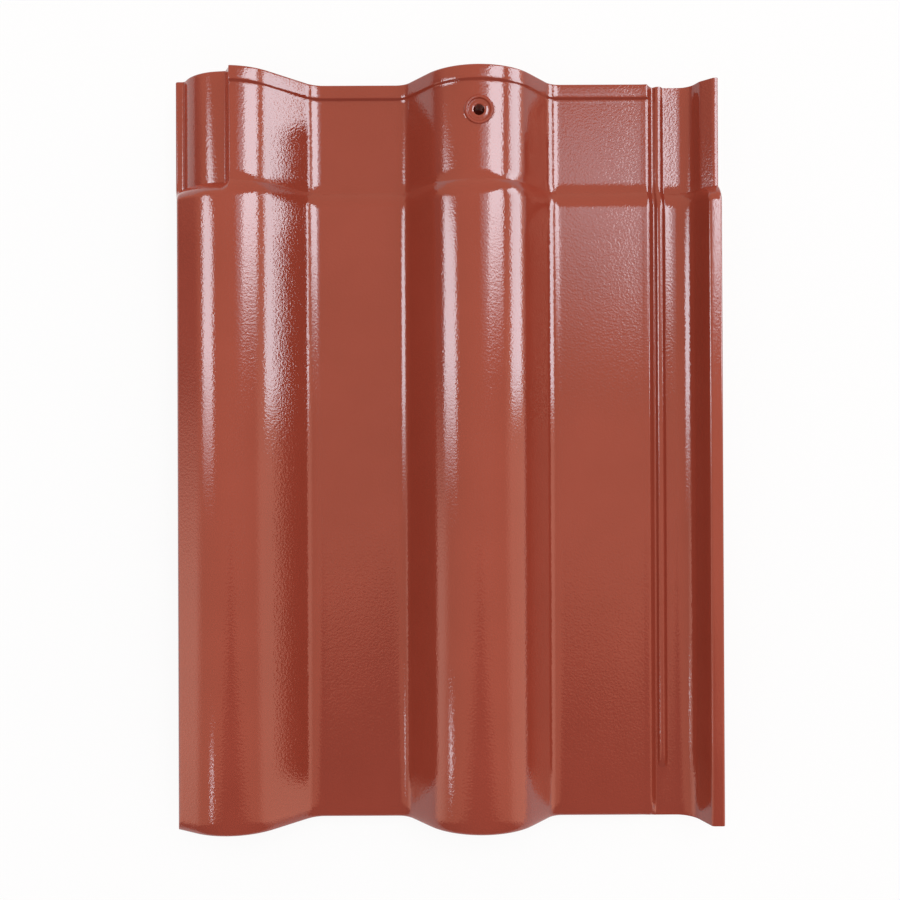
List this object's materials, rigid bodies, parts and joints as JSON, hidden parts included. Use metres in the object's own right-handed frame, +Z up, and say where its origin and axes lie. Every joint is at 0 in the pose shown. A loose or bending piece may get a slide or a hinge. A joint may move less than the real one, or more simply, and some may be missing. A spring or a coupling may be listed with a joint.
{
  "type": "roof tile",
  "caption": "Interlocking double roman clay roof tile, glazed, with two rolls, a covering skirt, a water channel, a stepped head with a nail hole, and claws below.",
  "frame": {"origin": "centre of the footprint, on the floor that the four claws rest on", "axes": "+X across the tile from the skirt to the raised edge, +Y from the foot to the head, +Z up from the claws to the rolls"},
  "size_m": [0.293, 0.4, 0.0495],
  "materials": {
    "glazed_clay": "glossy brick-red glaze with a slight orange-peel ripple, bare fired clay below"
  },
  "bodies": {
    "root": {"roof_tile": "glazed_clay"}
  },
  "joints": []
}
